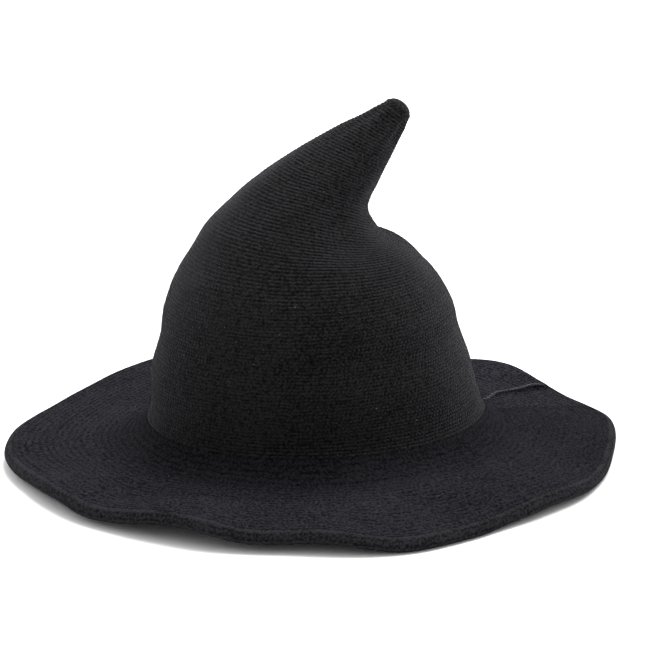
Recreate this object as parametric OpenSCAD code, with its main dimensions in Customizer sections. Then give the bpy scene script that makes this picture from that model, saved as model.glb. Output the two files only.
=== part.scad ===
// Soft knitted witch hat with a bent peak and a wired brim, standing on its brim.
// Millimetres, +Z up. +X points to the back of the hat, where its seam runs.

/* [Head opening] */
// Length of the head opening, front to back
head_length = 202; // [190:1:212]
// Width of the head opening
head_width = 168; // [160:1:178]

/* [Brim] */
// Width of the brim, from the head opening to its edge
brim_width = 100; // [90:1:110]
// Height of the brim's upper face where it meets the crown
root_height = 14; // [13:0.5:16]
// Height of the rolled hem round the edge
hem_height = 9; // [9:0.5:10]
// Width of the rolled hem
hem_roll = 10; // [9.5:0.5:11]
// Strength of the brim's waves, 1 as worn in
waviness = 1; // [0.5:0.1:1.1]

/* [Crown] */
// Stretch of the crown's height above the brim
crown_stretch = 1; // [0.95:0.01:1.02]
// Radius of the soft fold that the peak bends about
fold_radius = 36.4; // [36:0.1:36.6]

/* [Fabric and trim] */
// Thickness of the knitted fabric
fabric = 3; // [2.5:0.25:3]
// Thickness of the sweatband
band_thickness = 1.1; // [0.8:0.1:1.1]
// Height of the sweatband
band_height = 24; // [18:1:26]
// Diameter of the millinery wire
wire_d = 1.6; // [1:0.1:1.6]
// Width of the care label
label_width = 36; // [24:1:36]
// Length of the care label
label_length = 20; // [12:1:22]

/* [Hidden] */

knit_black = [0.13, 0.13, 0.15];
trim_black = [0.07, 0.07, 0.08];
steel = [0.72, 0.73, 0.75];

head_a = head_length / 2;
head_b = head_width / 2;
// The head opening's centre, a little towards the back
head_x = 4;
// The head opening's half length that the crown's rings are drawn for
drawn_head_a = 101;

// The crown's rings from the brim up to the peak's end: the centre's x and height,
// the half length front to back, and the lean towards the back in degrees.
CROWN = [
    [4, 14, 127, 0], [4, 19, 118, 0], [4, 27, 112, 0], [3, 40, 108, 0],
    [0, 61, 105, 0], [-1, 82, 98, 0], [-2, 100, 94, 0], [-4, 121, 84, 0],
    [-6, 138, 71, 1], [-10, 150, 58, 5], [-8, 162, 47, 7], [-3, 171, 40, 11],
    [6, 180, 34, 17], [16, 188, 29, 23], [26, 196, 24, 29], [37, 205, 19, 33],
    [47, 213, 14, 37], [57, 222, 10, 41]
];
BRIM_ROOT = 0;
DOME_BASE = 2;
DOME_TOP = 11;
PEAK_BASE = 13;
PEAK_END = 17;
base_half_length = CROWN[BRIM_ROOT][2];
// Heights between which the oval crown turns round
oval_from = 60;
round_from = 170;
grow_from = 100;

// Rises of the brim's edge above the table: azimuth, height, half width in degrees
WAVES = [
    [27, 6.5, 21], [100, 8, 32], [165, 4, 26], [196, 6, 26], [229, 10, 24], [255, 6, 16],
    [302, 4, 18], [342, 4, 20]
];
// Places where the edge stands in or out: azimuth, distance, half width in degrees
PULLS = [
    [16, -8, 24], [80, 8, 28], [142, -6, 32], [192, -5, 24], [220, -4, 24], [270, 10, 22],
    [290, 2, 14], [312, 4, 20], [350, 2, 18]
];
// The brim's seam from the crown outwards: distance from the head opening, azimuth
SEAM = [[26, 9], [38, 12], [52, 13], [66, 13.5], [80, 14.5], [92, 14]];

// The peak's fold: its centre, and the band that slides inside the dome's neck
pivot = [-2, 0, 176];
fold_low = -45;
fold_high = 5;
fold_lean = -20;

crown_sides = 48;
brim_sides = 96;
hem_steps = 9;
stitch_t = 0.9;
seam_w = 6;
gap = 0.4;
band_low = 12;
wire_u = brim_width - hem_roll / 2;
wire_drop = hem_height / 2;
hem_fabric = fabric - 0.6;
hem_stitch_count = 72;
band_stitch_count = 60;
band_top = band_low + band_height;
// Space between the sweatband and the crown's wall, and how far above it the wall stays straight
band_gap = 0.8;
band_clear = 8;
label_top = band_top - 2;
// The rolled seam allowance's cross-section: share of its half width, and depth inwards
FLAP = [[-1, -0.3], [1, -0.3], [1, 1.6], [-1, 1.6]];

// ---- helpers ----

function clamp01(x) = min(max(x, 0), 1);
function smooth(x) = let (c = clamp01(x)) c * c * (3 - 2 * c);
function total(list) = list * [for (item = list) 1];
function turn(az, centre) = abs((az - centre + 540) % 360 - 180);

// Sum of rounded bumps round the brim at one azimuth
function bumps(az, rows) = total([
    for (r = rows) turn(az, r[0]) < r[2] ? r[1] * (1 + cos(180 * turn(az, r[0]) / r[2])) / 2 : 0
]);

// Smooth curve through a list of rows, t counting the rows
function spline(rows, t) =
    let (
        last = len(rows) - 1,
        i = min(floor(t), last - 1),
        f = t - i,
        b = rows[i],
        c = rows[i + 1],
        a = i > 0 ? rows[i - 1] : 2 * b - c,
        d = i + 1 < last ? rows[i + 2] : 2 * c - b
    )
    (2 * b + (c - a) * f + (2 * a - 5 * b + 4 * c - d) * f * f
        + (3 * b - a - 3 * c + d) * f * f * f) / 2;

// Point on an oval that leans towards the back
function oval_point(centre, a, b, lean, az) =
    centre + [a * cos(az) * cos(lean), b * sin(az), -a * cos(az) * sin(lean)];

function ring_station(t) =
    let (s = spline(CROWN, t)) [s[0], root_height + (s[1] - 14) * crown_stretch, s[2], s[3]];
function ring_half_width(s) =
    s[2] - (head_a - head_b) * (1 - clamp01((s[1] - oval_from) / (round_from - oval_from)));
// A larger or smaller head opening widens the dome, and leaves the peak alone
function ring_grow(s) =
    (head_a - drawn_head_a) * (1 - clamp01((s[1] - grow_from) / (round_from - grow_from)));

// A point on the crown's fabric, inset from its outer face
function crown_point(t, az, inset) =
    let (s = ring_station(t), grow = ring_grow(s))
    oval_point([s[0], 0, s[1]], s[2] + grow - inset, ring_half_width(s) + grow - inset, s[3], az);

// The inner wall stands straight behind the sweatband and follows the fabric above
function wall_point(t, az) =
    let (
        s = ring_station(t),
        grow = ring_grow(s),
        x = s[1] < band_top + band_clear ? head_x : s[0],
        a = min(s[2] + grow - fabric, head_a + band_thickness + band_gap),
        b = min(ring_half_width(s) + grow - fabric, head_b + band_thickness + band_gap)
    )
    oval_point([x, 0, s[1]], a, b, s[3], az);

// Upper face of the brim, u counting outwards from the head opening
root_u = base_half_length - drawn_head_a;
function brim_rise(u, az) =
    let (flat = smooth((u - root_u) / (wire_u - root_u)))
    root_height + (hem_height + waviness * bumps(az, WAVES) - root_height) * flat;
function brim_point(u, az, up) =
    let (
        out = clamp01((u - root_u) / (brim_width - root_u)),
        reach = u + bumps(az, PULLS) * out
    )
    [
        (head_a + reach) * cos(az) + head_x * (1 - out),
        (head_b + reach) * sin(az),
        brim_rise(min(u, wire_u), az) + up
    ];

function fold_point(lat, az, inset) =
    let (
        lean = fold_lean * (fold_high - lat) / (fold_high - fold_low),
        r = fold_radius - inset
    )
    oval_point(
        pivot + r * sin(lat) * [sin(lean), 0, cos(lean)], r * cos(lat), r * cos(lat), lean, az
    );

// Closed band: each row is one cross-section, and the last row joins the first
module ring_sweep(rows) {
    n = len(rows);
    k = len(rows[0]);
    polyhedron(
        points = [for (row = rows) each row],
        faces = [
            for (i = [0:n - 1])
                for (j = [0:k - 1])
                    each let (
                        a = i * k + j,
                        b = i * k + (j + 1) % k,
                        c = ((i + 1) % n) * k + (j + 1) % k,
                        d = ((i + 1) % n) * k + j
                    ) [[a, c, b], [a, d, c]]
        ],
        convexity = 8
    );
}

// Skin over a stack of rings, closed at both ends by a point
module ring_skin(first, rings, last) {
    m = len(rings);
    k = len(rings[0]);
    polyhedron(
        points = concat([first], [for (ring = rings) each ring], [last]),
        faces = concat(
            [for (j = [0:k - 1]) [0, 1 + j, 1 + (j + 1) % k]],
            [
                for (i = [0:m - 2])
                    for (j = [0:k - 1])
                        each let (
                            a = 1 + i * k + j,
                            b = 1 + i * k + (j + 1) % k,
                            c = 1 + (i + 1) * k + (j + 1) % k,
                            d = 1 + (i + 1) * k + j
                        ) [[a, c, b], [a, d, c]]
            ],
            [for (j = [0:k - 1]) [m * k + 1, 1 + (m - 1) * k + (j + 1) % k, 1 + (m - 1) * k + j]]
        ),
        convexity = 8
    );
}

// Open strip: rows of one cross-section each, with flat ends
module strip(rows) {
    n = len(rows);
    k = len(rows[0]);
    polyhedron(
        points = [for (row = rows) each row],
        faces = concat(
            [for (j = [1:k - 2]) [0, j, j + 1]],
            [for (j = [1:k - 2]) [(n - 1) * k, (n - 1) * k + j + 1, (n - 1) * k + j]],
            [
                for (i = [0:n - 2])
                    for (j = [0:k - 1])
                        each let (
                            a = i * k + j,
                            b = i * k + (j + 1) % k,
                            c = (i + 1) * k + (j + 1) % k,
                            d = (i + 1) * k + j
                        ) [[a, c, b], [a, d, c]]
            ]
        ),
        convexity = 8
    );
}

// Round thread between two points, with flat ends
module thread(from, to, d) {
    run = to - from;
    translate(from)
        rotate([0, acos(run[2] / norm(run)), atan2(run[1], run[0])])
            cylinder(h = norm(run), d = d, $fn = 6);
}

// ---- knitted fabric ----

module crown_dome() {
    steps = [for (t = [DOME_BASE:0.75:DOME_TOP]) t];
    color(knit_black)
        ring_sweep([
            for (i = [0:crown_sides - 1])
                let (az = 360 * i / crown_sides)
                concat(
                    [for (t = steps) crown_point(t, az, 0)],
                    [for (k = [len(steps) - 1:-1:0]) wall_point(steps[k], az)]
                )
        ]);
}

module crown_tip() {
    sides = 36;
    lats = [for (lat = [fold_low:10:fold_high]) lat];
    steps = [for (t = [PEAK_BASE:0.8:PEAK_END]) t];
    end = ring_station(PEAK_END);
    axis = [sin(end[3]), 0, cos(end[3])];
    tip_r = end[2];
    tip_centre = [end[0], 0, end[1]];
    roof = ring_station(PEAK_END - 0.8);
    roof_rise = 5;
    around = [for (i = [0:sides - 1]) 360 * i / sides];
    color(knit_black)
        ring_skin(
            [roof[0], 0, roof[1]] + roof_rise * axis,
            concat(
                [
                    for (k = [len(steps) - 2:-1:0])
                        [for (az = around) crown_point(steps[k], az, fabric)]
                ],
                [
                    for (k = [len(lats) - 1:-1:0])
                        [for (az = around) fold_point(lats[k], az, fabric)]
                ],
                [for (lat = lats) [for (az = around) fold_point(lat, az, 0)]],
                [for (t = steps) [for (az = around) crown_point(t, az, 0)]],
                [
                    for (bend = [30:30:60])
                        [
                            for (az = around)
                                oval_point(
                                    tip_centre + 0.8 * tip_r * sin(bend) * axis,
                                    tip_r * cos(bend), tip_r * cos(bend), end[3], az
                                )
                        ]
                ]
            ),
            tip_centre + 0.8 * tip_r * axis
        );
}

module brim() {
    shelf = [for (u = [root_u + 10:12:wire_u - 6]) u];
    color(knit_black)
        ring_sweep([
            for (i = [0:brim_sides - 1])
                let (
                    az = 360 * i / brim_sides,
                    wall = wall_point(DOME_BASE, az),
                    foot = brim_point(root_u, az, -fabric)
                )
                concat(
                    [
                        wall,
                        crown_point(DOME_BASE, az, 0),
                        crown_point(1.5, az, 0),
                        crown_point(1, az, 0),
                        crown_point(0.5, az, 0),
                        crown_point(BRIM_ROOT, az, 0)
                    ],
                    [for (u = shelf) brim_point(u, az, 0)],
                    [brim_point(wire_u - 0.1, az, 0), brim_point(wire_u - 0.1, az, -fabric)],
                    [for (k = [len(shelf) - 1:-1:0]) brim_point(shelf[k], az, -fabric)],
                    [foot, [wall[0], wall[1], foot[2]]]
                )
        ]);
}

// Rolled edge: a hook that starts on the brim's edge, goes round the wire and ends under
// the brim
module brim_hem() {
    roll_a = hem_roll / 2;
    roll_b = hem_height / 2;
    first = 90;
    last = -195;
    bends = [for (k = [0:hem_steps]) first + (last - first) * k / hem_steps];
    function hook(az, inset, bend) =
        brim_point(wire_u + (roll_a - inset) * cos(bend), az, 0)
        + [0, 0, (roll_b - inset) * sin(bend) - roll_b];
    color(knit_black)
        ring_sweep([
            for (i = [0:brim_sides - 1])
                let (az = 360 * i / brim_sides)
                concat(
                    [for (bend = bends) hook(az, 0, bend)],
                    [for (k = [hem_steps:-1:0]) hook(az, hem_fabric, bends[k])]
                )
        ]);
}

// Ridge of the joined ends of the brim, skewed a little across it
module brim_seam() {
    ridge = [[-2.6, -0.8], [2.6, -0.8], [2, 0.8], [0.9, 1.9], [-0.9, 1.9], [-2, 0.8]];
    skew = 5;
    color(knit_black)
        strip([
            for (t = [0.1:0.4:len(SEAM) - 1])
                let (
                    at = spline(SEAM, t),
                    across = [-sin(at[1] + skew), cos(at[1] + skew), 0],
                    base = brim_point(at[0], at[1], 0)
                )
                [for (p = ridge) base + p[0] * across + [0, 0, p[1]]]
        ]);
}

// Seam allowance along the inside of the fabric at the back, from one ring to another
module inside_seam(from, to, steps) {
    strip([
        for (k = [0:steps])
            let (
                t = from + (to - from) * k / steps,
                s = ring_station(t),
                inward = [-cos(s[3]), 0, sin(s[3])],
                base = crown_point(t, 0, fabric)
            )
            [for (p = FLAP) base + [0, p[0] * seam_w / 2, 0] + p[1] * inward]
    ]);
}

module crown_seam() {
    color(knit_black)
        inside_seam(4, DOME_TOP - 0.7, 14);
}

module tip_seam() {
    color(knit_black)
        inside_seam(PEAK_BASE + 0.4, PEAK_END - 1.6, 6);
}

// Yarn drawn through the last course inside the peak, with its knot
module closing_yarn() {
    s = ring_station(PEAK_END - 1);
    yarn_d = 2.4;
    knot_d = 5;
    ring_r = s[2] - fabric;
    color(trim_black)
        translate([s[0], 0, s[1]])
            rotate([0, s[3], 0])
                union() {
                    rotate_extrude($fn = 32)
                        translate([ring_r, 0])
                            circle(d = yarn_d, $fn = 16);
                    translate([ring_r - yarn_d, 0, 0])
                        sphere(d = knot_d, $fn = 20);
                }
}

// ---- wire ----

module brim_wire() {
    sides = 8;
    color(steel)
        ring_sweep([
            for (i = [0:brim_sides - 1])
                let (
                    az = 360 * i / brim_sides,
                    centre = brim_point(wire_u, az, -wire_drop),
                    outward = [cos(az), sin(az), 0]
                )
                [
                    for (j = [0:sides - 1])
                        centre + wire_d / 2 * (cos(360 * j / sides) * outward
                            - sin(360 * j / sides) * [0, 0, 1])
                ]
        ]);
}

// Crimped tube over the wire's two ends
module wire_joiner() {
    az = 60;
    length = 12;
    bore = wire_d + 0.5;
    wall = 0.35;
    at = brim_point(wire_u, az, -wire_drop);
    ahead = brim_point(wire_u, az + 2, -wire_drop);
    behind = brim_point(wire_u, az - 2, -wire_drop);
    run = (ahead - behind) / norm(ahead - behind);
    color(steel)
        translate(at)
            rotate([0, acos(run[2]), atan2(run[1], run[0])])
                difference() {
                    cylinder(h = length, d = bore + 2 * wall, center = true, $fn = 32);
                    cylinder(h = length + 2, d = bore, center = true, $fn = 32);
                }
}

// ---- inside trim ----

module sweatband() {
    color(trim_black)
        ring_sweep([
            for (i = [0:brim_sides - 1])
                let (
                    az = 360 * i / brim_sides,
                    out = [head_x + (head_a + band_thickness) * cos(az),
                        (head_b + band_thickness) * sin(az)],
                    in = [head_x + head_a * cos(az), head_b * sin(az)]
                )
                [
                    [in[0], in[1], band_low],
                    [in[0], in[1], band_top],
                    [out[0], out[1], band_top],
                    [out[0], out[1], band_low]
                ]
        ]);
}

// Tack over the meeting ends of the sweatband, above its row of stitches
module band_join() {
    tack_w = 9;
    tack_low = band_low + 5;
    tack_high = band_top - 2;
    color(trim_black)
        translate([head_x + head_a - 0.9, -tack_w / 2, tack_low])
            cube([1.2, tack_w, tack_high - tack_low]);
}

// Stitches through the sweatband into the crown's wall
module band_stitches() {
    color(trim_black)
        for (i = [0:band_stitch_count - 1]) {
            az = 360 * (i + 0.5) / band_stitch_count;
            heading = atan2(head_b * cos(az), -head_a * sin(az));
            translate([head_x + head_a * cos(az), head_b * sin(az), band_low + 3])
                rotate([0, 0, heading])
                    translate([-2.2, -2.2, 0])
                        cube([4.4, 2.5, stitch_t]);
        }
}

// Stitches that hold the hem's turned-in edge under the brim
module hem_stitches() {
    color(trim_black)
        for (i = [0:hem_stitch_count - 1]) {
            az = 360 * (i + 0.5) / hem_stitch_count;
            inner = wire_u - hem_roll / 2 + 0.8;
            thread(
                brim_point(inner, az, -wire_drop + 0.2),
                brim_point(inner, az, -fabric + 0.6),
                stitch_t
            );
        }
}

// Blank satin label that hangs from its upper edge inside the left of the opening
module care_label() {
    color([0.85, 0.85, 0.83])
        translate([head_x - label_width / 2, head_b - 2.6, label_top - label_length])
            cube([label_width, 0.5, label_length]);
}

module label_stitches() {
    tack = [5, 2.6, 1.2];
    color(trim_black)
        for (side = [-1, 1])
            translate([
                head_x + side * (label_width / 2 - 4) - tack[0] / 2,
                head_b - 2.8,
                label_top + gap
            ])
                cube(tack);
}

crown_dome();
crown_tip();
closing_yarn();
brim();
brim_hem();
brim_wire();
wire_joiner();
brim_seam();
crown_seam();
tip_seam();
sweatband();
band_join();
band_stitches();
hem_stitches();
care_label();
label_stitches();
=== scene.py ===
"""Black knitted witch hat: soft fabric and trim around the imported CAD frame.

Lengths are in millimetres until the meshes are made, because the hat's own pattern is. +X is the
back of the hat, where its seam runs, and the hat stands on z = 0.
"""

import math

import bmesh
import bpy
import numpy as np
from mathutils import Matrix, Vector


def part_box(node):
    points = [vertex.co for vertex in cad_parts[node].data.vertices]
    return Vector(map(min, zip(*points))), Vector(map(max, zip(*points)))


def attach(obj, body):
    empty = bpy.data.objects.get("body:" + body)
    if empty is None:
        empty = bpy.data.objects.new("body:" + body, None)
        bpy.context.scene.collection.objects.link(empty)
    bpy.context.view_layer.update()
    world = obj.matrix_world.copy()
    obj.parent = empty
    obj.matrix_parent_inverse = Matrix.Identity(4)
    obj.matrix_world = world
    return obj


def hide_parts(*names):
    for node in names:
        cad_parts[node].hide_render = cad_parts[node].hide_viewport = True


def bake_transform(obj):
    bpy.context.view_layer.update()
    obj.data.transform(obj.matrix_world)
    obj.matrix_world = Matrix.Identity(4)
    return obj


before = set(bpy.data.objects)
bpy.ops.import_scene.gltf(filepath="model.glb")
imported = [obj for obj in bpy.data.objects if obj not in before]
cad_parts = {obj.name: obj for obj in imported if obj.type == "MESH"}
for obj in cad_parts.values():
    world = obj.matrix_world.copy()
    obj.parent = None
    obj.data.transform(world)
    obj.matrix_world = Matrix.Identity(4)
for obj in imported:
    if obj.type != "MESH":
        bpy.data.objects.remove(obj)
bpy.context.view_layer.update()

MM = 0.001

# ---------------------------------------------------------------- sizes, as in the CAD pattern

band_lo, band_hi = (np.array(corner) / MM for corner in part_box("sweatband"))
BAND_THICK = 1.1
HEAD_X = (band_lo[0] + band_hi[0]) / 2
HEAD_A = (band_hi[0] - band_lo[0]) / 2 - BAND_THICK
HEAD_B = (band_hi[1] - band_lo[1]) / 2 - BAND_THICK
BAND_LOW, BAND_HIGH = band_lo[2], band_hi[2]

FABRIC = 3.0
ROOT_HEIGHT = 14.0
ROOT_U = 26.0
BRIM_WIDTH = 100.0
HEM_HEIGHT = 9.0
HEM_ROLL = 10.0
HEM_GIRTH = 24.0
WIRE_U = BRIM_WIDTH - HEM_ROLL / 2

# The knit is pressed flat this far above the floor where the brim rests on it
FLOOR_GAP = 0.1

# How far behind the band the crown's wall stands, and how far above it the wall stays centred on
# the head opening
BAND_GAP = 0.8
BAND_CLEAR = 8.0

# The crown's rings: centre x, height, half length front to back, lean in degrees
CROWN = [
    [4, 14, 127, 0], [4, 19, 118, 0], [4, 27, 112, 0], [3, 40, 108, 0],
    [0, 61, 105, 0], [-1, 82, 98, 0], [-2, 100, 94, 0], [-4, 121, 84, 0],
    [-6, 138, 71, 1], [-10, 150, 58, 5], [-8, 162, 47, 7], [-3, 171, 40, 11],
    [6, 180, 34, 17], [16, 188, 29, 23], [26, 196, 24, 29], [37, 205, 19, 33],
    [47, 213, 14, 37], [57, 222, 10, 41],
]
# Rings where the dome starts and ends and where the peak ends
CROWN_BASE, CROWN_TOP, PEAK_END = 2.0, 7.0, 17.0
# Heights between which the oval turns round
OVAL_FROM, ROUND_FROM = 60.0, 170.0

# Round the brim: azimuth, size, half width in degrees
WAVES = [
    [27, 6.5, 21], [100, 8, 32], [165, 4, 26], [196, 6, 26], [229, 10, 24], [255, 6, 16],
    [302, 4, 18], [342, 4, 20],
]
PULLS = [
    [16, -8, 24], [80, 8, 28], [142, -6, 32], [192, -5, 24], [220, -4, 24], [270, 10, 22],
    [290, 2, 14], [312, 4, 20], [350, 2, 18],
]

# The brim's seam from the crown outwards: distance from the head opening, azimuth
SEAM = [[26, 9], [38, 12], [52, 13], [66, 13.5], [80, 14.5], [92, 14]]
CROWN_SEAM = 0.0

# The knit: height of a course on the crown and on the brim, width of a stitch, and relief
COURSE = 2.2
BRIM_COURSE = 4.1
WALE = 2.7
CROWN_RELIEF = 0.26
BRIM_RELIEF = 0.43
HEM_RELIEF = 0.25
SAMPLES = 4
BRIM_SAMPLES = 7

# Share of a thread's radius that is left at its two ends
THREAD_END = 0.45

# ---------------------------------------------------------------- shape


def clamp01(x):
    return np.clip(x, 0.0, 1.0)


def smooth(x):
    x = clamp01(x)
    return x * x * (3 - 2 * x)


def bump(x, centre, width):
    """Bell of height 1 round a centre."""
    return np.exp(-(((x - centre) / width) ** 2))


def bumps(az, rows):
    """Rounded bumps round the brim, by azimuth in degrees."""
    height = np.zeros_like(az)
    for centre, size, half in rows:
        away = np.abs((az - centre + 540) % 360 - 180)
        height = height + np.where(away < half, size * (1 + np.cos(np.pi * away / half)) / 2, 0)
    return height


def spline(rows, t):
    """Smooth curve through rows of numbers, where t counts the rows."""
    rows = np.asarray(rows, float)
    last = len(rows) - 1
    i = np.minimum(np.floor(t).astype(int), last - 1)
    f = (t - i)[..., None]
    b, c = rows[i], rows[i + 1]
    a = np.where((i > 0)[..., None], rows[np.maximum(i - 1, 0)], 2 * b - c)
    d = np.where((i + 1 < last)[..., None], rows[np.minimum(i + 2, last)], 2 * c - b)
    return (
        2 * b + (c - a) * f + (2 * a - 5 * b + 4 * c - d) * f**2 + (3 * b - a - 3 * c + d) * f**3
    ) / 2


def crown_surface(t, az, inset=0.0, wall=False):
    """The crown's fabric at ring t and azimuth az, inset from its outer face. With wall, the inner
    face behind the band."""
    x, z, a, lean = np.moveaxis(spline(CROWN, t), -1, 0)
    turned = clamp01((z - OVAL_FROM) / (ROUND_FROM - OVAL_FROM))
    b = a - (HEAD_A - HEAD_B) * (1 - turned)
    if wall:
        a = np.minimum(a - FABRIC, HEAD_A + BAND_THICK + BAND_GAP)
        b = np.minimum(b - FABRIC, HEAD_B + BAND_THICK + BAND_GAP)
        x = np.where(z < BAND_HIGH + BAND_CLEAR, HEAD_X, x)
    lean, around = np.radians(lean), np.radians(az)
    a, b = a - inset, b - inset
    reach = a * np.cos(around)
    return np.stack(
        [x + reach * np.cos(lean), b * np.sin(around) + 0 * x, z - reach * np.sin(lean)], -1
    )


def brim_surface(u, az, up=0.0):
    """The brim's upper face, u outwards from the head opening."""
    out = clamp01((u - ROOT_U) / (BRIM_WIDTH - ROOT_U))
    reach = u + bumps(az, PULLS) * out
    flat = smooth((np.minimum(u, WIRE_U) - ROOT_U) / (WIRE_U - ROOT_U))
    z = ROOT_HEIGHT + (HEM_HEIGHT + bumps(az, WAVES) - ROOT_HEIGHT) * flat
    around = np.radians(az)
    return np.stack(
        [
            (HEAD_A + reach) * np.cos(around) + HEAD_X * (1 - out),
            (HEAD_B + reach) * np.sin(around),
            z + up,
        ],
        -1,
    )


def hem_surface(bend, az, inset=0.0):
    """The rolled edge round the wire: bend is 90 on top and falls as it turns under."""
    turn = np.radians(bend)
    centre = brim_surface(WIRE_U + (HEM_ROLL / 2 - inset) * np.cos(turn), az)
    centre[..., 2] += (HEM_HEIGHT / 2 - inset) * np.sin(turn) - HEM_HEIGHT / 2
    return centre


def spread(rows, az):
    """Grids of the rows' values and of the azimuths, for every row at every azimuth."""
    return np.broadcast_arrays(rows[:, None], az[None, :])


def even_rows(chain, rows):
    """Re-spaces a chain of points, by column, into rows at even distances along it."""
    steps = np.linalg.norm(np.diff(chain, axis=0), axis=-1)
    along = np.concatenate([np.zeros((1, chain.shape[1])), np.cumsum(steps, 0)])
    out = np.empty((rows, chain.shape[1], 3))
    for j in range(chain.shape[1]):
        wanted = np.linspace(0, along[-1, j], rows)
        for k in range(3):
            out[:, j, k] = np.interp(wanted, along[:, j], chain[:, j, k])
    return out


def azimuths(count, crowd=0.0, centre=14.0, width=14.0):
    """Azimuths round the hat in degrees, crowded round a centre."""
    fine = np.linspace(0, 360, 7201)
    away = (fine - centre + 540) % 360 - 180
    density = 1 + crowd * np.exp(-((away / width) ** 2))
    total = np.concatenate([[0], np.cumsum((density[1:] + density[:-1]) / 2)])
    return np.interp(np.arange(count) / count, total / total[-1], fine)


def normals_of(grid):
    """Unit normals of a grid whose columns join up. They point out of the cloth where its rows run
    up the hat, but into it where they run outwards or down, as on the brim and the hem."""
    along = np.gradient(grid, axis=0)
    across = np.roll(grid, -1, 1) - np.roll(grid, 1, 1)
    n = np.cross(across, along)
    return n / np.maximum(np.linalg.norm(n, axis=-1, keepdims=True), 1e-9)


def waviness(a, b, seed, waves=6):
    """Smooth irregularity between about -1 and 1 over two coordinates; a is in degrees."""
    rng = np.random.default_rng(seed)
    total = 0
    for _ in range(waves):
        turns, slope = rng.integers(1, 9), rng.uniform(-0.12, 0.12)
        total = total + np.sin(np.radians(turns * a) + slope * b + rng.uniform(0, 6.28))
    return total / waves**0.5


def course_relief(course, az, seed, depth):
    """Rounded ridge along each course of the knit, uneven as a hand-finished fabric is."""
    whole = np.floor(course + 1e-6).astype(int)
    ridge = np.abs(np.sin(np.pi * course)) ** 0.7
    rng = np.random.default_rng(seed)
    pull = rng.normal(0, 1, whole.max() + 2)[whole]
    uneven = 0.9 + 0.12 * pull + 0.3 * waviness(3 * az, 3 * course, seed + 1, 10)
    return depth * ridge * np.clip(uneven, 0.3, 1.5)


# ---------------------------------------------------------------- meshes


def new_object(name, mesh, material):
    """Smooth-shaded object with one material."""
    piece = bpy.data.objects.new(name, mesh)
    bpy.context.scene.collection.objects.link(piece)
    mesh.materials.append(material)
    mesh.polygons.foreach_set("use_smooth", [True] * len(mesh.polygons))
    mesh.set_sharp_from_angle(angle=math.radians(50))
    return piece


def outward(mesh):
    """Turns every face of a closed mesh outwards."""
    work = bmesh.new()
    work.from_mesh(mesh)
    bmesh.ops.recalc_face_normals(work, faces=work.faces)
    work.to_mesh(mesh)
    work.free()


def ring_mesh(name, grid, az, wales, courses, material, shut=True, poles=()):
    """A fabric whose rows run round the hat. shut joins the last row to the first; poles are the
    end points of an open stack. wales and courses, one each a row, number the stitches."""
    rows, cols = grid.shape[:2]
    i = np.arange(rows if shut else rows - 1)[:, None]
    j = np.arange(cols)[None, :]
    up, on = (i + 1) % rows, (j + 1) % cols
    quads = np.stack([i * cols + j, i * cols + on, up * cols + on, up * cols + j], -1)
    quads = quads.reshape(-1, 4)
    share, share_on = az / 360, np.append(az[1:], 360) / 360
    u = np.stack(
        [
            wales[i] * share[j], wales[i] * share_on[j],
            wales[up] * share_on[j], wales[up] * share[j],
        ],
        -1,
    ).reshape(-1, 4)
    here_v, next_v = courses[i] + 0 * j, courses[up] + 0 * j
    v = np.stack([here_v, here_v, next_v, next_v], -1)
    v = v.reshape(-1, 4)
    points = grid.reshape(-1, 3)
    faces = quads.tolist()
    uvs = [list(zip(a, b)) for a, b in zip(u.tolist(), v.tolist())]
    if len(poles):
        points = np.concatenate([points, poles])
        for pole, row in ((rows * cols, 0), (rows * cols + 1, rows - 1)):
            for k in range(cols):
                faces.append([pole, row * cols + (k + 1) % cols, row * cols + k])
                here = wales[row] * share[k]
                there = wales[row] * share_on[k]
                uvs.append([(here, courses[row]), (there, courses[row]), (here, courses[row])])
    mesh = bpy.data.meshes.new(name)
    mesh.from_pydata((points * MM).tolist(), [], faces)
    layer = mesh.uv_layers.new(name="knit")
    layer.data.foreach_set("uv", np.array([c for face in uvs for corner in face for c in corner]))
    outward(mesh)
    return new_object(name, mesh, material)


def tube_mesh(paths, radius, sides):
    """Points and faces of round threads along paths, each an array of points."""
    points, faces = [], []
    turn = np.linspace(0, 2 * np.pi, sides, endpoint=False)
    for path in paths:
        run = np.gradient(path, axis=0)
        run /= np.linalg.norm(run, axis=1, keepdims=True)
        side = np.cross(run, [0.13, 0.21, 0.97])
        side /= np.linalg.norm(side, axis=1, keepdims=True)
        other = np.cross(run, side)
        size = np.full(len(path), radius)
        size[0] = size[-1] = radius * THREAD_END
        ring = (
            path[:, None]
            + size[:, None, None] * np.cos(turn)[None, :, None] * side[:, None]
            + size[:, None, None] * np.sin(turn)[None, :, None] * other[:, None]
        )
        base = len(points)
        points.extend(ring.reshape(-1, 3))
        n = len(path)
        for i in range(n - 1):
            for k in range(sides):
                a, b = base + i * sides + k, base + i * sides + (k + 1) % sides
                faces.append((a, b, b + sides, a + sides))
        faces.append(tuple(base + k for k in range(sides))[::-1])
        faces.append(tuple(base + (n - 1) * sides + k for k in range(sides)))
    return np.array(points), faces


def thread_object(name, paths, radius, material, sides=6):
    """Threads along paths, as one piece."""
    points, faces = tube_mesh(paths, radius, sides)
    mesh = bpy.data.meshes.new(name)
    mesh.from_pydata((points * MM).tolist(), [], faces)
    outward(mesh)
    return new_object(name, mesh, material)


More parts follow.
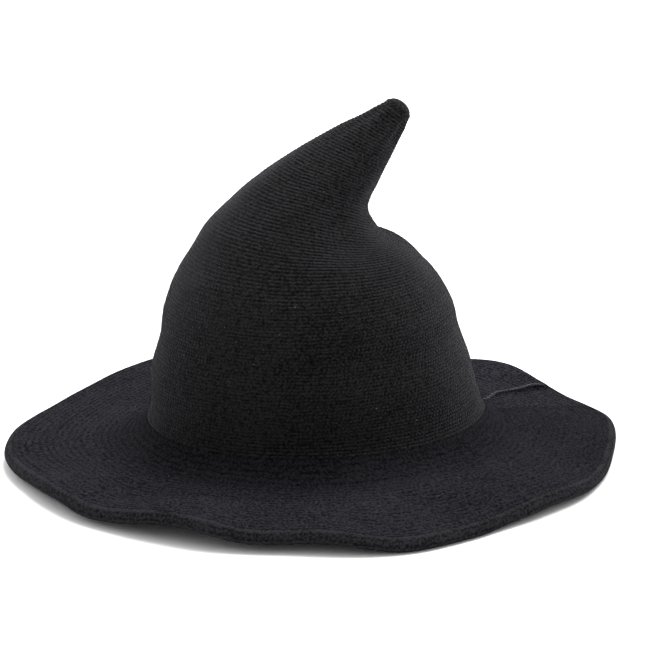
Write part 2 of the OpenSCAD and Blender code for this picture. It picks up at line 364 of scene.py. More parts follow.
def roll_object(name, rings, material):
    """Roll of cloth through rings of points, closed at both ends."""
    steps, sides = rings.shape[:2]
    faces = [
        (i * sides + k, i * sides + (k + 1) % sides,
         (i + 1) * sides + (k + 1) % sides, (i + 1) * sides + k)
        for i in range(steps - 1) for k in range(sides)
    ]
    faces.append(tuple(range(sides)))
    faces.append(tuple((steps - 1) * sides + k for k in range(sides)))
    mesh = bpy.data.meshes.new(name)
    mesh.from_pydata((rings.reshape(-1, 3) * MM).tolist(), [], faces)
    outward(mesh)
    layer = mesh.uv_layers.new(name="knit")
    for loop in mesh.loops:
        step, side = divmod(loop.vertex_index, sides)
        layer.data[loop.index].uv = (step * 0.5, side * 0.3)
    return new_object(name, mesh, material)


# ---------------------------------------------------------------- materials


class Graph:
    """Short names for making a material's nodes."""

    def __init__(self, name):
        self.material = bpy.data.materials.new(name)
        self.material.use_nodes = True
        self.nodes = self.material.node_tree.nodes
        self.links = self.material.node_tree.links
        self.shader = self.nodes["Principled BSDF"]

    def node(self, kind, **settings):
        made = self.nodes.new(kind)
        for key, value in settings.items():
            setattr(made, key, value)
        return made

    def feed(self, socket, value):
        if isinstance(value, bpy.types.NodeSocket):
            self.links.new(value, socket)
        else:
            socket.default_value = value

    def math(self, operation, a, b=0.0, clamp=False):
        made = self.node("ShaderNodeMath", operation=operation, use_clamp=clamp)
        self.feed(made.inputs[0], a)
        self.feed(made.inputs[1], b)
        return made.outputs[0]

    def mix(self, share, a, b):
        made = self.node("ShaderNodeMix", data_type="RGBA")
        self.feed(made.inputs["Factor"], share)
        self.feed(made.inputs["A"], a)
        self.feed(made.inputs["B"], b)
        return made.outputs["Result"]

    def noise(self, scale, detail=2.0, vector=None):
        made = self.node("ShaderNodeTexNoise")
        made.inputs["Scale"].default_value = scale
        made.inputs["Detail"].default_value = detail
        if vector is not None:
            self.feed(made.inputs["Vector"], vector)
        return made.outputs["Fac"]

    def ramp(self, value, low, high, start, end):
        """Eases from start to end while the value goes from low to high."""
        made = self.node("ShaderNodeMapRange", interpolation_type="SMOOTHSTEP")
        self.feed(made.inputs["Value"], value)
        for label, number in (
            ("From Min", low), ("From Max", high), ("To Min", start), ("To Max", end)
        ):
            made.inputs[label].default_value = number
        return made.outputs["Result"]

    def bump(self, height, distance, strength=1.0):
        made = self.node("ShaderNodeBump")
        made.inputs["Distance"].default_value = distance
        made.inputs["Strength"].default_value = strength
        self.feed(made.inputs["Height"], height)
        return made.outputs["Normal"]


def grey(value, cast=0.08):
    """Grey of one brightness, with a blue cast."""
    return (value * (1 + 0.05 * cast), value * (1 - 0.05 * cast), value * (1 + cast), 1)


def knit_material(
    name, dark, light, sheen, relief, cast=0.05, gloss=0.08, shaded=None, painted_highlight=None
):
    """Knitted wool: stitches in offset rows, by the fabric's own courses and wales. shaded gives
    the courses over which a darker start, painted shade, gives way; painted_highlight those that
    are painted paler, a painted highlight."""
    g = Graph(name)
    uv = g.node("ShaderNodeUVMap", uv_map="knit").outputs["UV"]
    place = g.node("ShaderNodeTexCoord").outputs["Object"]
    split = g.node("ShaderNodeSeparateXYZ")
    g.feed(split.inputs[0], uv)
    wobble = g.math("MULTIPLY", g.math("SUBTRACT", g.noise(260, 2, place), 0.5), 0.9)
    drift = g.math("MULTIPLY", g.math("SUBTRACT", g.noise(190, 2, place), 0.5), 0.5)
    wale = g.math("ADD", split.outputs["X"], wobble)
    course = g.math("ADD", split.outputs["Y"], drift)
    odd = g.math("MULTIPLY", g.math("MODULO", g.math("FLOOR", course), 2.0), 0.5)
    turn = g.math("MULTIPLY", g.math("ADD", wale, odd), 2 * math.pi)
    stitch = g.math("ADD", g.math("MULTIPLY", g.math("COSINE", turn), 0.5), 0.5)
    row = g.math("ABSOLUTE", g.math("SINE", g.math("MULTIPLY", course, math.pi)))
    loop = g.math("MULTIPLY", row, g.math("ADD", g.math("MULTIPLY", stitch, 0.6), 0.4))
    fibre = g.noise(2600, 3, place)
    tuft = g.noise(620, 2, place)
    broad = g.noise(24, 3, place)
    height = g.math("ADD", g.math("MULTIPLY", loop, 0.5), g.math("MULTIPLY", tuft, 0.9))
    tone = g.math("ADD", g.math("MULTIPLY", loop, 0.5), g.math("MULTIPLY", tuft, 2.6))
    tone = g.math("ADD", tone, g.math("MULTIPLY", broad, 0.5))
    tone = g.math("ADD", g.math("MULTIPLY", tone, 1.25), -1.7, True)
    # Painted shade: darker over the first courses, giving way to the full tone
    if shaded:
        tone = g.math("MULTIPLY", tone, g.ramp(split.outputs["Y"], *shaded, 0.62, 1.0))
    # Painted highlight: paler in patches over the first courses, for the light on the hem's crest
    if painted_highlight:
        crest_highlight = g.ramp(split.outputs["Y"], *painted_highlight, 1.0, 0.0)
        patchy = g.ramp(g.noise(60, 3, place), 0.4, 0.62, 0.0, 0.45)
        tone = g.math("ADD", tone, g.math("MULTIPLY", crest_highlight, patchy))
    colour = g.mix(tone, grey(dark, cast), grey(light, cast))
    specks = g.node("ShaderNodeTexVoronoi", feature="F1")
    specks.inputs["Scale"].default_value = 55
    g.feed(specks.inputs["Vector"], place)
    lint = g.math("LESS_THAN", specks.outputs["Distance"], 0.03)
    colour = g.mix(g.math("MULTIPLY", lint, 0.2), colour, (0.3, 0.3, 0.32, 1))
    g.feed(g.shader.inputs["Base Color"], colour)
    rough = g.math("ADD", g.math("MULTIPLY", fibre, 0.2), 0.78)
    g.feed(g.shader.inputs["Roughness"], rough)
    g.shader.inputs["Specular IOR Level"].default_value = gloss
    g.shader.inputs["Sheen Weight"].default_value = sheen
    g.shader.inputs["Sheen Roughness"].default_value = 0.35
    g.shader.inputs["Sheen Tint"].default_value = (0.84, 0.8, 1.0, 1)
    g.feed(g.shader.inputs["Normal"], g.bump(height, relief * MM, 1.0))
    return g.material


def fibre_material(name, value):
    """Loose fibre, a little uneven in shade along its length."""
    g = Graph(name)
    place = g.node("ShaderNodeTexCoord").outputs["Object"]
    shade = g.noise(400, 2, place)
    g.feed(g.shader.inputs["Base Color"], g.mix(shade, grey(value * 0.4), grey(value * 1.6)))
    g.feed(g.shader.inputs["Roughness"], g.math("ADD", g.math("MULTIPLY", shade, 0.2), 0.7))
    g.shader.inputs["Specular IOR Level"].default_value = 0.1
    g.shader.inputs["Sheen Weight"].default_value = 0.03
    return g.material


def thread_material(name, value):
    """Twisted sewing thread."""
    g = Graph(name)
    place = g.node("ShaderNodeTexCoord").outputs["Object"]
    twist = g.node("ShaderNodeTexWave", bands_direction="DIAGONAL")
    twist.inputs["Scale"].default_value = 520
    twist.inputs["Distortion"].default_value = 1.2
    g.feed(twist.inputs["Vector"], place)
    g.feed(
        g.shader.inputs["Base Color"],
        g.mix(twist.outputs["Fac"], grey(value * 0.5), grey(value * 1.6)),
    )
    g.shader.inputs["Roughness"].default_value = 0.55
    g.shader.inputs["Sheen Weight"].default_value = 0.4
    g.feed(g.shader.inputs["Normal"], g.bump(twist.outputs["Fac"], 0.15 * MM))
    return g.material


def ribbon_material(name, value):
    """Grosgrain ribbon: fine weft over the modelled ribs."""
    g = Graph(name)
    place = g.node("ShaderNodeTexCoord").outputs["Object"]
    split = g.node("ShaderNodeSeparateXYZ")
    g.feed(split.inputs[0], place)
    line = g.math("ABSOLUTE", g.math("SINE", g.math("MULTIPLY", split.outputs["Z"], 5200)))
    fibre = g.noise(1800, 3, place)
    height = g.math("ADD", g.math("MULTIPLY", line, 0.6), g.math("MULTIPLY", fibre, 0.4))
    g.feed(g.shader.inputs["Base Color"], g.mix(height, grey(value * 0.5), grey(value * 1.7)))
    g.feed(g.shader.inputs["Roughness"], g.math("ADD", g.math("MULTIPLY", fibre, 0.2), 0.5))
    g.shader.inputs["Sheen Weight"].default_value = 0.25
    g.feed(g.shader.inputs["Normal"], g.bump(height, 0.12 * MM))
    return g.material


def satin_material(name):
    """Blank woven satin label."""
    g = Graph(name)
    place = g.node("ShaderNodeTexCoord").outputs["Object"]
    split = g.node("ShaderNodeSeparateXYZ")
    g.feed(split.inputs[0], place)
    warp = g.math("ABSOLUTE", g.math("SINE", g.math("MULTIPLY", split.outputs["X"], 9000)))
    broad = g.noise(90, 3, place)
    height = g.math("ADD", g.math("MULTIPLY", warp, 0.7), g.math("MULTIPLY", broad, 0.3))
    g.feed(
        g.shader.inputs["Base Color"],
        g.mix(height, (0.50, 0.49, 0.46, 1), (0.68, 0.67, 0.64, 1)),
    )
    g.feed(g.shader.inputs["Roughness"], g.math("ADD", g.math("MULTIPLY", broad, 0.15), 0.3))
    g.shader.inputs["Sheen Weight"].default_value = 0.3
    g.feed(g.shader.inputs["Normal"], g.bump(height, 0.06 * MM))
    return g.material


def steel_material(name):
    """Drawn steel, a little uneven in shade and gloss."""
    g = Graph(name)
    place = g.node("ShaderNodeTexCoord").outputs["Object"]
    scratch = g.noise(900, 4, place)
    g.feed(
        g.shader.inputs["Base Color"],
        g.mix(scratch, (0.42, 0.43, 0.45, 1), (0.66, 0.67, 0.69, 1)),
    )
    g.shader.inputs["Metallic"].default_value = 1.0
    g.feed(g.shader.inputs["Roughness"], g.math("ADD", g.math("MULTIPLY", scratch, 0.3), 0.2))
    g.feed(g.shader.inputs["Normal"], g.bump(scratch, 0.05 * MM))
    return g.material


KNIT = knit_material("knit_black", 0.0006, 0.015, 0.068, 1.2)
# Painted light: the brim's knit is a paler copy of the crown's wool, for the light on the brim's
# top, and its first courses carry painted shade where the flare meets the crown
BRIM_KNIT_PAINTED_LIGHT = knit_material("knit_brim_painted_light", 0.004, 0.0245, 0.01, 1.15, 0.2, 0.005, shaded=(1, 10))
# Painted light: the hem's knit is a copy of the brim's wool with a darker light tone, painted
# shade on the hem's side, and a painted highlight along its crest
HEM_KNIT_PAINTED_LIGHT = knit_material("knit_hem", 0.004, 0.021, 0.02, 0.6, 0.15, 0.02, painted_highlight=(0.2, 1.4))
# Painted highlight: the seam roll's knit is a paler copy of the brim's wool, for the light along
# the ridge's top
SEAM_KNIT_PAINTED_HIGHLIGHT = knit_material("knit_seam", 0.012, 0.036, 0.03, 0.8, 0.2, 0.02)
WOOL = fibre_material("wool_black", 0.005)
LINT = fibre_material("lint_pale", 0.15)
THREAD = thread_material("thread_black", 0.012)
RIBBON = ribbon_material("grosgrain_black", 0.012)
SATIN = satin_material("label_satin")
STEEL = steel_material("wire_steel")

# ---------------------------------------------------------------- knitted pieces


def follow(piece, body):
    """Rides on the hat, or, for the peak, stays unparented with its placement baked in."""
    if body == "peak":
        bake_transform(piece)
    else:
        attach(piece, body)


def course_numbers(length, course, samples=SAMPLES):
    """The course number of each mesh row, for as many courses as fit a length."""
    courses = max(2, round(length / course))
    return np.linspace(0, courses, courses * samples + 1)


def row_wales(grid):
    """Stitches round each course, so that they stay one width as the crown narrows."""
    around = np.linalg.norm(np.roll(grid, -1, 1) - grid, axis=-1).sum(1)
    return np.maximum(8, np.round(around / WALE))


def crown_rows(low, high, az, seed, depth):
    """Outer face of the crown between two rings, with its courses in relief."""
    chain = crown_surface(np.linspace(low, high, 160)[:, None], az[None, :])
    length = np.linalg.norm(np.diff(chain, axis=0), axis=-1).sum(0).mean()
    number = course_numbers(length, COURSE)
    grid = even_rows(chain, len(number))
    relief = course_relief(*spread(number, az), seed, depth)
    soft = 0.5 * waviness(az[None, :], number[:, None], seed + 5, 5)
    fade = np.minimum(1, np.minimum(number, number[-1] - number) / 3)[:, None]
    seam = -0.55 * bump((az[None, :] - CROWN_SEAM + 180) % 360 - 180, 0, 0.7)
    grid = grid + normals_of(grid) * (relief - depth + soft * fade + seam)[..., None]
    return grid, number


def crown_piece():
    """Dome of the crown, from the brim's flare up to the peak's piece."""
    az = azimuths(380, crowd=1.5, centre=CROWN_SEAM, width=10)
    outer, number = crown_rows(CROWN_BASE, CROWN_TOP, az, 11, CROWN_RELIEF)
    inner = crown_surface(
        np.linspace(CROWN_TOP, CROWN_BASE, 24)[:, None], az[None, :], wall=True
    )
    grid = np.concatenate([outer, inner])
    wales = np.concatenate([row_wales(outer), row_wales(inner)])
    inner_number = np.linspace(number[-1], 0, len(inner))
    piece = ring_mesh(
        "crown_knit", grid, az, wales, np.concatenate([number, inner_number]), KNIT
    )
    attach(piece, "hat")
    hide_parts("crown_dome")


def peak_piece():
    """The bent peak, closed at its blunt end, with its placement baked in."""
    az = azimuths(260, crowd=1.2, centre=CROWN_SEAM, width=12)
    outer, number = crown_rows(CROWN_TOP, PEAK_END, az, 23, CROWN_RELIEF)
    x, z, a, lean = spline(CROWN, np.array(PEAK_END))
    tilt = math.radians(lean)
    axis = np.array([math.sin(tilt), 0, math.cos(tilt)])
    end = np.array([x, 0, z])
    turn = np.radians(az)
    flat = np.stack(
        [np.cos(turn) * math.cos(tilt), np.sin(turn), -np.cos(turn) * math.sin(tilt)], -1
    )
    cap, cap_number = [], []
    for k, bend in enumerate(np.linspace(6, 84, 14)):
        rise = math.sin(math.radians(bend)) * 0.8 * a
        groove = 0.5 * bump(rise, 1.6, 0.5) + 0.4 * bump(rise, 4.6, 0.5)
        pleat = 0.35 * np.cos(9 * turn) * smooth((bend - 40) / 40)
        size = a * math.cos(math.radians(bend)) - groove + pleat * math.cos(math.radians(bend))
        cap.append(end + rise * axis + flat * size[:, None])
        cap_number.append(number[-1] + (k + 1) / SAMPLES)
    inner = crown_surface(
        np.linspace(PEAK_END - 0.8, CROWN_TOP, 40)[:, None], az[None, :], FABRIC
    )
    grid = np.concatenate([inner, outer, np.array(cap)])
    inner_number = np.linspace(number[-1], 0, len(inner))
    courses = np.concatenate([inner_number, number, cap_number])
    poles = [inner[0].mean(0) + 2 * axis, end + 0.78 * a * axis]
    piece = ring_mesh(
        "peak_knit", grid, az, row_wales(grid), courses, KNIT, shut=False, poles=poles
    )
    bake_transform(piece)
    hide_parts("crown_tip")


def seam_azimuth(u):
    """Azimuth of the brim's seam at a distance from the head opening."""
    return np.interp(u, [row[0] for row in SEAM], [row[1] for row in SEAM])


def seam_fold(u, az):
    """Height of the lapped panel over the other one, stepping down in front of the seam."""
    away = (az - seam_azimuth(u) + 180) % 360 - 180
    off = np.radians(away) * (HEAD_A + u)
    lap = np.where(off > 0, np.exp(-off / 15), np.exp(-((off / 2.0) ** 2)))
    reach = smooth((u - 20) / 22) * (1 - 0.7 * smooth((u - 84) / 9))
    return (0.5 + 1.5 * reach) * lap * smooth((u - 22) / 5) - 0.8 * reach * bump(off, -5.0, 3.0)


def brim_piece():
    """The brim from the crown's flare to the hem, lapped at its seam."""
    az = azimuths(440, crowd=3.0, centre=14.0, width=12.0)
    flare = crown_surface(np.linspace(CROWN_BASE, 0, 30)[:, None], az[None, :])
    shelf_u = np.linspace(ROOT_U, WIRE_U, 80)[1:]
    shelf = brim_surface(*spread(shelf_u, az))
    chain = np.concatenate([flare, shelf])
    length = np.linalg.norm(np.diff(chain, axis=0), axis=-1).sum(0).mean()
    number = course_numbers(length, BRIM_COURSE, BRIM_SAMPLES)
    top = even_rows(chain, len(number))
    share = number / number[-1]
    u = ROOT_U + (WIRE_U - ROOT_U) * clamp01((share * length - 22) / (length - 22))
    depth = CROWN_RELIEF + (BRIM_RELIEF - CROWN_RELIEF) * smooth((number[:, None] - 4) / 6)
    # Normals that point into the cloth turn the relief over here: crests between broad troughs
    relief = course_relief(*spread(number, az), 31, depth)
    soft = 0.6 * waviness(az[None, :], 3 * number[:, None], 37, 6)
    fade = np.minimum(1, np.minimum(number, number[-1] - number) / 2)[:, None]
    top = top + normals_of(top) * (relief - depth + soft * fade)[..., None]
    top[..., 2] += seam_fold(u[:, None], az[None, :])
    under_u = np.linspace(WIRE_U, ROOT_U, 40)
    under = brim_surface(*spread(under_u, az), -FABRIC)
    wall = crown_surface(np.full((1, 1), CROWN_BASE), az[None, :], wall=True)
    foot = wall.copy()
    foot[..., 2] = under[-1:, :, 2]
    grid = np.concatenate([top, under, foot, wall])
    low = np.linspace(number[-1], 0, len(under))
    numbers = np.concatenate([number, low, [0, 0]])
    piece = ring_mesh("brim_knit", grid, az, row_wales(grid), numbers, BRIM_KNIT_PAINTED_LIGHT)
    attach(piece, "hat")
    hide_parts("brim")


def hem_piece():
    """Edge of the brim rolled round the wire and caught up underneath."""
    az = azimuths(560, crowd=1.0, centre=20.0, width=8.0)
    first, last = 90.0, -195.0
    bends = np.linspace(first, last, 90)
    chain = hem_surface(*spread(bends, az))
    number = course_numbers(HEM_GIRTH, BRIM_COURSE, BRIM_SAMPLES)
    outer = even_rows(chain, len(number))
    # The relief is turned over here too
    relief = course_relief(*spread(number, az), 43, HEM_RELIEF)
    soft = 0.35 * waviness(4 * az[None, :], number[:, None], 47, 8)
    fade = np.minimum(1, number / 2)[:, None]
    outer = outer + normals_of(outer) * (relief - HEM_RELIEF + soft * fade)[..., None]
    outer[..., 2] = np.maximum(outer[..., 2], FLOOR_GAP)
    back = np.linspace(last, first, 16)
    inner = hem_surface(*spread(back, az), FABRIC - 0.6)
    grid = np.concatenate([outer, inner])
    numbers = np.concatenate([number, np.linspace(number[-1], 0, len(inner))])
    piece = ring_mesh("hem_knit", grid, az, row_wales(grid), numbers, HEM_KNIT_PAINTED_LIGHT)
    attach(piece, "hat")
    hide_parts("brim_hem")


def seam_piece():
    """The seam's rolled edge along the ridge, with its overcast stitches."""
    u = np.linspace(SEAM[0][0] + 1, SEAM[-1][0], 60)
    az = seam_azimuth(u)
    path = brim_surface(u, az, -0.2)
    path[:, 2] += seam_fold(u, az)
    up_crown = np.linspace(1.1, 0.15, 8)
    path = np.concatenate([crown_surface(up_crown, np.linspace(7.5, 8.8, 8)), path])
    steps = len(path)
    run = np.gradient(path, axis=0)
    run /= np.linalg.norm(run, axis=1, keepdims=True)
    across = np.cross([0, 0, 1.0], run)
    turn = np.linspace(0, 2 * np.pi, 14, endpoint=False)
    twist = 1 + 0.12 * np.abs(np.sin(np.arange(steps) * 0.9))
    rings = (
        path[:, None]
        + 1.5 * twist[:, None, None] * np.cos(turn)[None, :, None] * across[:, None]
        + 1.0 * twist[:, None, None] * np.sin(turn)[None, :, None] * np.array([0, 0, 1.0])
    )
    # The roll's paler knit is a painted highlight along the ridge
    piece = roll_object("seam_roll", rings, SEAM_KNIT_PAINTED_HIGHLIGHT)
    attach(piece, "hat")
    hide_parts("brim_seam")
    loops = []
    for k in range(3, steps - 2, 3):
        arc = np.radians(np.linspace(-10, 190, 7))
        lean = run[k] * np.linspace(-0.7, 0.7, 7)[:, None]
        loops.append(
            path[k] + 1.6 * np.cos(arc)[:, None] * across[k]
            + 1.1 * np.sin(arc)[:, None] * np.array([0, 0, 1.0]) + lean
        )
    stitches = thread_object("seam_overcast", loops, 0.22, THREAD)
    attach(stitches, "hat")


def fuzz_places(surface, low, high, count, rng, flip=1):
    """Random points and normals on a surface, thinned where its rings are short. As called here,
    the normals point out of the crown but into the brim and the hem."""
    across = rng.uniform(low, high, count)
    az = rng.uniform(0, 360, count)
    here = surface(across, az)
    step = surface(across + 0.02, az) - here
    on = surface(across, az + 0.2) - here
    normal = np.cross(on, step) * flip
    length = np.linalg.norm(on, axis=1)
    keep = rng.uniform(0, 1, count) < length / length.max()
    normal /= np.linalg.norm(normal, axis=1, keepdims=True)
    return here[keep], normal[keep]


def fuzz_piece(name, places, length, lift, radius, material, seed, body="hat"):
    """Loose fibres of the wool, lying along the knit and arched towards their normals."""
    rng = np.random.default_rng(seed)
    base, normal = places
    count = len(base)
    side = np.cross(normal, rng.normal(0, 1, (count, 3)))
    side /= np.linalg.norm(side, axis=1, keepdims=True)
    third = np.cross(normal, side)
    long = length * rng.uniform(0.5, 1.4, count)[:, None]
    high = lift * rng.uniform(0.2, 1.6, count)[:, None]
    bend = rng.uniform(-0.5, 0.5, count)[:, None]
    rings = []
    for share in (0.0, 0.35, 0.7, 1.0):
        centre = base + side * long * share + third * long * bend * share**2
        centre = centre + normal * (high * math.sin(2.2 * share) - 0.05)
        thick = radius * (1 - 0.7 * share)
        for turn in (0, 120, 240):
            c, s = math.cos(math.radians(turn)), math.sin(math.radians(turn))
            rings.append(centre + thick * (c * normal + s * third))
    fibres = np.stack(rings, 1)
    fibres = fibres[fibres[..., 2].min(axis=1) > FLOOR_GAP]
    points = fibres.reshape(-1, 3)
    pattern = [(0, 2, 1), (9, 10, 11)]
    for ring in range(3):
        for k in range(3):
            a, b = 3 * ring + k, 3 * ring + (k + 1) % 3
            pattern += [(a, b, b + 3), (a, b + 3, a + 3)]
    starts = 12 * np.arange(len(fibres))
    faces = (starts[:, None, None] + np.array(pattern)[None]).reshape(-1, 3)
    mesh = bpy.data.meshes.new(name)
    mesh.from_pydata((points * MM).tolist(), [], faces.tolist())
    piece = new_object(name, mesh, material)
    follow(piece, body)


def fuzz_pieces():
    """Short dark fibres all over the outside, and a few pale ones. Those of the brim and the hem
    arch into the cloth, which hides many of them."""
    rng = np.random.default_rng(71)
    dome = fuzz_places(crown_surface, CROWN_BASE, CROWN_TOP, 5200, rng)
    peak = fuzz_places(crown_surface, CROWN_TOP, PEAK_END, 4200, rng)
    shelf = fuzz_places(brim_surface, ROOT_U, WIRE_U, 4200, rng)
    edge = fuzz_places(hem_surface, -60, 90, 3200, rng, -1)
    fuzz_piece("fuzz_dome", dome, 2.6, 0.7, 0.07, WOOL, 72)
    fuzz_piece("fuzz_peak", peak, 2.4, 0.7, 0.07, WOOL, 73, "peak")
    fuzz_piece("fuzz_brim", shelf, 2.6, 0.6, 0.07, WOOL, 74)
    fuzz_piece("fuzz_edge", edge, 2.4, 0.7, 0.07, WOOL, 75)
    few = fuzz_places(crown_surface, CROWN_BASE, CROWN_TOP, 110, rng)
    fuzz_piece("lint_dome", few, 1.5, 0.25, 0.11, LINT, 76)
    few = fuzz_places(crown_surface, CROWN_TOP, PEAK_END, 60, rng)
    fuzz_piece("lint_peak", few, 1.4, 0.25, 0.1, LINT, 77, "peak")
    few = fuzz_places(brim_surface, ROOT_U, WIRE_U, 110, rng)
    fuzz_piece("lint_brim", few, 1.3, 0.2, 0.1, LINT, 78)


crown_piece()
peak_piece()
brim_piece()
hem_piece()
seam_piece()
fuzz_pieces()

# ---------------------------------------------------------------- inside trim


def band_piece():
    """Grosgrain sweatband with modelled ribs and turned edges."""
    ribs = 480
    az = np.arange(ribs * 4) * 360 / (ribs * 4)
    rib = 0.12 * np.cos(np.radians(az * ribs))
    around = np.radians(az)
    profile = [
        [0.25, BAND_LOW], [0, BAND_LOW + 0.6], [-0.1, BAND_LOW + 2.4], [0.1, BAND_LOW + 3.2],
        [0.1, BAND_HIGH - 3.2], [-0.1, BAND_HIGH - 2.4], [0, BAND_HIGH - 0.6],
        [0.25, BAND_HIGH], [0.85, BAND_HIGH], [1.0, BAND_HIGH - 1], [1.0, BAND_LOW + 1],
        [0.85, BAND_LOW],
    ]
    rows = []
    for out, z in profile:
        grow = out + np.where(out < 0.5, rib, 0)
        rows.append(
            np.stack(
                [
                    HEAD_X + (HEAD_A + grow) * np.cos(around),
                    (HEAD_B + grow) * np.sin(around),
                    np.full_like(az, z),
                ],
                -1,
            )
        )
    grid = np.array(rows)
    wales, courses = np.full(len(rows), ribs), np.arange(len(rows))
    piece = ring_mesh("sweatband_ribbon", grid, az, wales, courses, RIBBON)
    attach(piece, "hat")
    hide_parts("sweatband")


def band_stitch_pieces():
    """Running stitches through the sweatband, and the tack over its ends."""
    count = 120
    paths = []
    for i in range(count):
        mid = 360 * (i + 0.5) / count
        half = 360 / count * 0.32
        az = np.radians(np.linspace(mid - half, mid + half, 6))
        dip = np.array([0.5, -0.15, -0.35, -0.35, -0.15, 0.5])
        paths.append(
            np.stack(
                [
                    HEAD_X + (HEAD_A + dip) * np.cos(az),
                    (HEAD_B + dip) * np.sin(az),
                    np.full(6, BAND_LOW + 3.4),
                ],
                -1,
            )
        )
    piece = thread_object("band_running_stitch", paths, 0.3, THREAD)
    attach(piece, "hat")
    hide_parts("band_stitches")
    lo, hi = (np.array(corner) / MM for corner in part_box("band_join"))
    bars = []
    for k, y in enumerate(np.linspace(lo[1] + 0.6, hi[1] - 0.6, 7)):
        z = np.linspace(lo[2], hi[2], 40)
        sway = 0.35 * np.sin(z * 1.7 + k)
        bars.append(np.stack([np.full(40, HEAD_X + HEAD_A - 0.35), y + sway, z], -1))
    tack = thread_object("band_end_tack", bars, 0.45, THREAD)
    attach(tack, "hat")
    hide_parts("band_join")


def hem_stitch_piece():
    """Slanted catch stitches under the hem's turned-in edge."""
    count = 180
    inner = WIRE_U - HEM_ROLL / 2 + 0.8
    paths = []
    for i in range(count):
        az = 360 * (i + np.linspace(0.15, 0.75, 6)) / count
        low = brim_surface(np.full(6, inner), az, -HEM_HEIGHT / 2)
        rise = np.linspace(0.1, HEM_HEIGHT / 2 - FABRIC - 0.1, 6)
        low[:, 2] += rise
        paths.append(low)
    piece = thread_object("hem_catch_stitch", paths, 0.35, THREAD)
    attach(piece, "hat")
    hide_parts("hem_stitches")


def inside_seam_piece(name, node, low, high, steps, body):
    """Rolled seam allowance inside the back of the fabric, following the CAD strip."""
    t = np.linspace(low, high, steps)
    base = crown_surface(t, np.zeros(steps), FABRIC)
    lean = np.radians(spline(CROWN, t)[:, 3])
    inward = np.stack([-np.cos(lean), 0 * lean, np.sin(lean)], -1)
    turn = np.linspace(0, 2 * np.pi, 12, endpoint=False)
    puff = 1 + 0.15 * np.sin(np.arange(steps) * 1.3)
    rings = (
        base[:, None]
        + inward[:, None] * (0.7 + 0.9 * np.sin(turn)[None, :, None] * puff[:, None, None])
        + np.array([0, 1.0, 0]) * 2.6 * np.cos(turn)[None, :, None] * puff[:, None, None]
    )
    piece = roll_object(name, rings, KNIT)
    follow(piece, body)
    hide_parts(node)


def closing_yarn_piece():
    """Yarn drawn through the last course inside the peak, wound twice and knotted."""
    x, z, a, lean = spline(CROWN, np.array(PEAK_END - 1))
    tilt = math.radians(lean)
    turns = np.linspace(0, 4 * np.pi, 90)
    size = a - FABRIC - 1.2
    loop = np.stack([size * np.cos(turns), size * np.sin(turns), 0.18 * turns - 1.1], -1)
    knot_turn = np.linspace(0, 2 * np.pi, 70)
    knot = np.stack(
        [
            size - 2.4 + 1.1 * (np.sin(knot_turn) + 2 * np.sin(2 * knot_turn)) * 0.7,
            1.1 * (np.cos(knot_turn) - 2 * np.cos(2 * knot_turn)) * 0.7,
            -1.1 * np.sin(3 * knot_turn) * 0.7,
        ],
        -1,
    )
    spin = np.array(
        [[math.cos(tilt), 0, math.sin(tilt)], [0, 1, 0], [-math.sin(tilt), 0, math.cos(tilt)]]
    )
    paths = [path @ spin.T + np.array([x, 0, z]) for path in (loop, knot)]
    piece = thread_object("closing_yarn_loop", paths, 0.8, THREAD, sides=10)
    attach(piece, "peak")
    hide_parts("closing_yarn")


def label_pieces():
    """Blank satin label, slightly curled and hanging free, with its two tacks."""
    lo, hi = (np.array(corner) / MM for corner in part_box("care_label"))
    across, down = 24, 20
    s, d = np.meshgrid(np.linspace(0, 1, across), np.linspace(0, 1, down))
    x = lo[0] + (hi[0] - lo[0]) * s
    z = hi[2] - (hi[2] - lo[2]) * d
    curl = 0.9 * d**2 * (1 + 0.4 * np.cos(2 * np.pi * s)) + 0.25 * np.sin(3 * np.pi * s) * d
    y = (lo[1] + hi[1]) / 2 - curl
    points = np.stack([x, y, z], -1).reshape(-1, 3)
    faces = [
        (i * across + k, i * across + k + 1, (i + 1) * across + k + 1, (i + 1) * across + k)
        for i in range(down - 1) for k in range(across - 1)
    ]
    mesh = bpy.data.meshes.new("care_label_satin")
    mesh.from_pydata((points * MM).tolist(), [], faces)
    piece = new_object("care_label_satin", mesh, SATIN)
    thick = piece.modifiers.new("thickness", "SOLIDIFY")
    thick.thickness = 0.3 * MM
    thick.offset = 0
    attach(piece, "label")
    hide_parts("care_label")
    tlo, thi = (np.array(corner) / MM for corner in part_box("label_stitches"))
    paths = []
    for side in (-1, 1):
        middle = HEAD_X + side * ((thi[0] - tlo[0]) / 2 - 2.5)
        for k in range(4):
            px = middle - 1.8 + 1.2 * k
            arc = np.radians(np.linspace(0, 180, 8))
            py = thi[1] - 0.9 - (thi[1] - tlo[1] - 1.2) * np.sin(arc)
            pz = tlo[2] + 0.5 + 0.25 * np.cos(arc)
            paths.append(np.stack([np.full(8, px) + 0.3 * np.cos(arc), py, pz], -1))
    tacks = thread_object("label_tacks", paths, 0.28, THREAD)
    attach(tacks, "hat")
    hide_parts("label_stitches")


band_piece()
band_stitch_pieces()
hem_stitch_piece()
inside_seam_piece("crown_seam_allowance", "crown_seam", 4.0, 10.3, 90, "hat")
inside_seam_piece("peak_seam_allowance", "tip_seam", 13.4, 15.4, 30, "peak")
closing_yarn_piece()
label_pieces()

for metal in ("brim_wire", "wire_joiner"):
    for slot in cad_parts[metal].material_slots:
        slot.link = "OBJECT"
        slot.material = STEEL

# ---------------------------------------------------------------- stage, light and camera


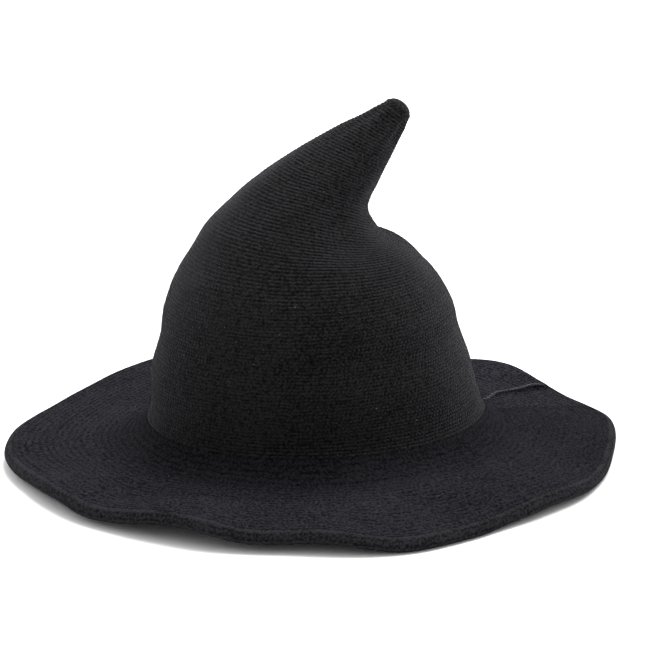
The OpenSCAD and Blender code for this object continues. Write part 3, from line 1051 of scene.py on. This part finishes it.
def floor_piece():
    """Plain white floor that the hat stands on."""
    mesh = bpy.data.meshes.new("floor")
    half = 9.0
    corners = [(-half, -half, 0), (half, -half, 0), (half, half, 0), (-half, half, 0)]
    mesh.from_pydata(corners, [], [(0, 1, 2, 3)])
    g = Graph("floor_white")
    g.shader.inputs["Base Color"].default_value = (0.95, 0.95, 0.95, 1)
    g.shader.inputs["Roughness"].default_value = 0.9
    new_object("floor", mesh, g.material)


def sun_light(name, source, strength, width):
    """Very large soft source far away, so that the floor is lit evenly."""
    data = bpy.data.lights.new(name, "SUN")
    data.energy = strength
    data.angle = math.radians(width)
    lamp = bpy.data.objects.new(name, data)
    bpy.context.scene.collection.objects.link(lamp)
    lamp.rotation_euler = Vector(source).to_track_quat("Z", "Y").to_euler()


def world_light(front, back):
    """White studio, dimmer on the camera's side."""
    world = bpy.data.worlds.new("studio")
    world.use_nodes = True
    tree = world.node_tree
    place = tree.nodes.new("ShaderNodeTexCoord")
    toward = tree.nodes.new("ShaderNodeVectorMath")
    toward.operation = "DOT_PRODUCT"
    toward.inputs[1].default_value = (-0.3, -0.95, 0.0)
    tree.links.new(place.outputs["Generated"], toward.inputs[0])
    shade = tree.nodes.new("ShaderNodeMapRange")
    shade.interpolation_type = "SMOOTHSTEP"
    shade.inputs["From Min"].default_value = -0.1
    shade.inputs["From Max"].default_value = 0.9
    shade.inputs["To Min"].default_value = back
    shade.inputs["To Max"].default_value = front
    tree.links.new(toward.outputs["Value"], shade.inputs["Value"])
    tree.links.new(shade.outputs["Result"], tree.nodes["Background"].inputs["Strength"])
    tree.nodes["Background"].inputs["Color"].default_value = (1, 1, 1, 1)
    bpy.context.scene.world = world


VIEW_AZ, VIEW_EL, VIEW_FAR = math.radians(-18.0), math.radians(17.5), 1.8
AIM_RIGHT, AIM_UP = 0.0078, -0.011
LENS = 149.7


def camera():
    """Camera that looks at the hat from a little above, without depth of field."""
    data = bpy.data.cameras.new("camera")
    data.lens = LENS
    data.sensor_width = 36
    data.clip_end = 60
    eye = bpy.data.objects.new("camera", data)
    bpy.context.scene.collection.objects.link(eye)
    back = Vector(
        (
            math.sin(VIEW_AZ) * math.cos(VIEW_EL),
            -math.cos(VIEW_AZ) * math.cos(VIEW_EL),
            math.sin(VIEW_EL),
        )
    )
    right = Vector((math.cos(VIEW_AZ), math.sin(VIEW_AZ), 0))
    up = back.cross(right)
    aim = Vector((0, 0, 0.09)) + AIM_RIGHT * right + AIM_UP * up
    eye.location = aim + VIEW_FAR * back
    eye.rotation_euler = (-back).to_track_quat("-Z", "Y").to_euler()
    bpy.context.scene.camera = eye


floor_piece()
world_light(0.42, 1.3)
sun_light("key", (0.5, 0.35, 1.3), 3.7, 40)
sun_light("side", (-0.8, 0.5, 0.6), 0.35, 60)
camera()
bpy.context.scene.view_settings.view_transform = "Standard"
